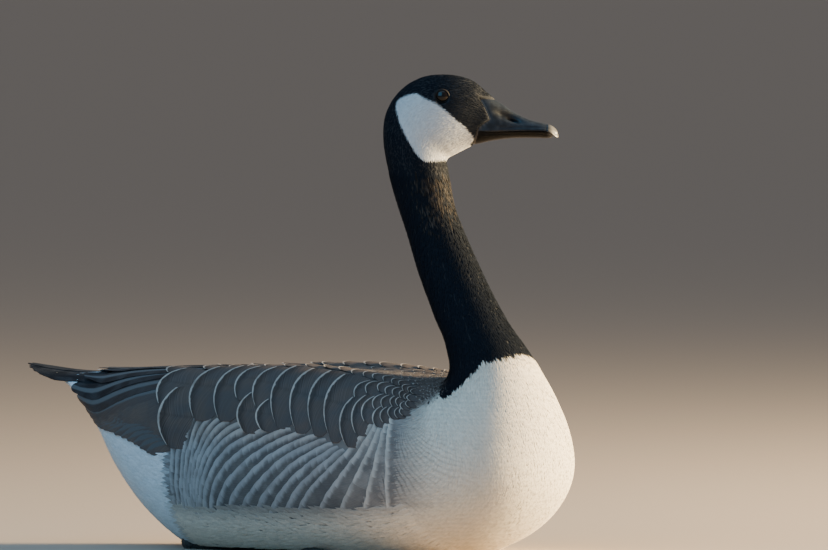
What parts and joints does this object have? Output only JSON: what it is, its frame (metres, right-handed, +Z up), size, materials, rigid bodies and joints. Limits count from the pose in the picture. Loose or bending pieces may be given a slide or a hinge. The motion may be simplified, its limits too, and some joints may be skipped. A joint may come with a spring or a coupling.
{
  "type": "canada goose",
  "caption": "Life-size Canada goose resting on its belly, neck raised and head turned to its left, wings folded, feet tucked under.",
  "frame": {"origin": "centre of the belly flat, at floor level", "axes": "+X from tail to breast, +Y to the bird's left, +Z up"},
  "size_m": [0.5098, 0.2152, 0.3803],
  "materials": {
    "bill": "smooth black horn with a blue-grey sheen",
    "eye": "wet dark brown",
    "head_feathers": "short dense black feathers with a white cheek patch",
    "legs": "scaled dark grey skin",
    "neck_feathers": "fine black feathers",
    "tail_feathers": "black vanes, white coverts below",
    "body_feathers": "pale breast, grey-brown barred flanks, white vent",
    "wing_feathers": "grey-brown vanes with pale edges, black primaries"
  },
  "bodies": {
    "root": {"bill_lower": "bill", "bill_upper": "bill", "eye_left": "eye", "eye_right": "eye", "head": "head_feathers", "leg_left": "legs", "leg_right": "legs", "neck_lower": "neck_feathers", "neck_upper": "neck_feathers", "tail": "tail_feathers", "torso": "body_feathers", "wing_left": "wing_feathers", "wing_right": "wing_feathers"}
  },
  "joints": []
}
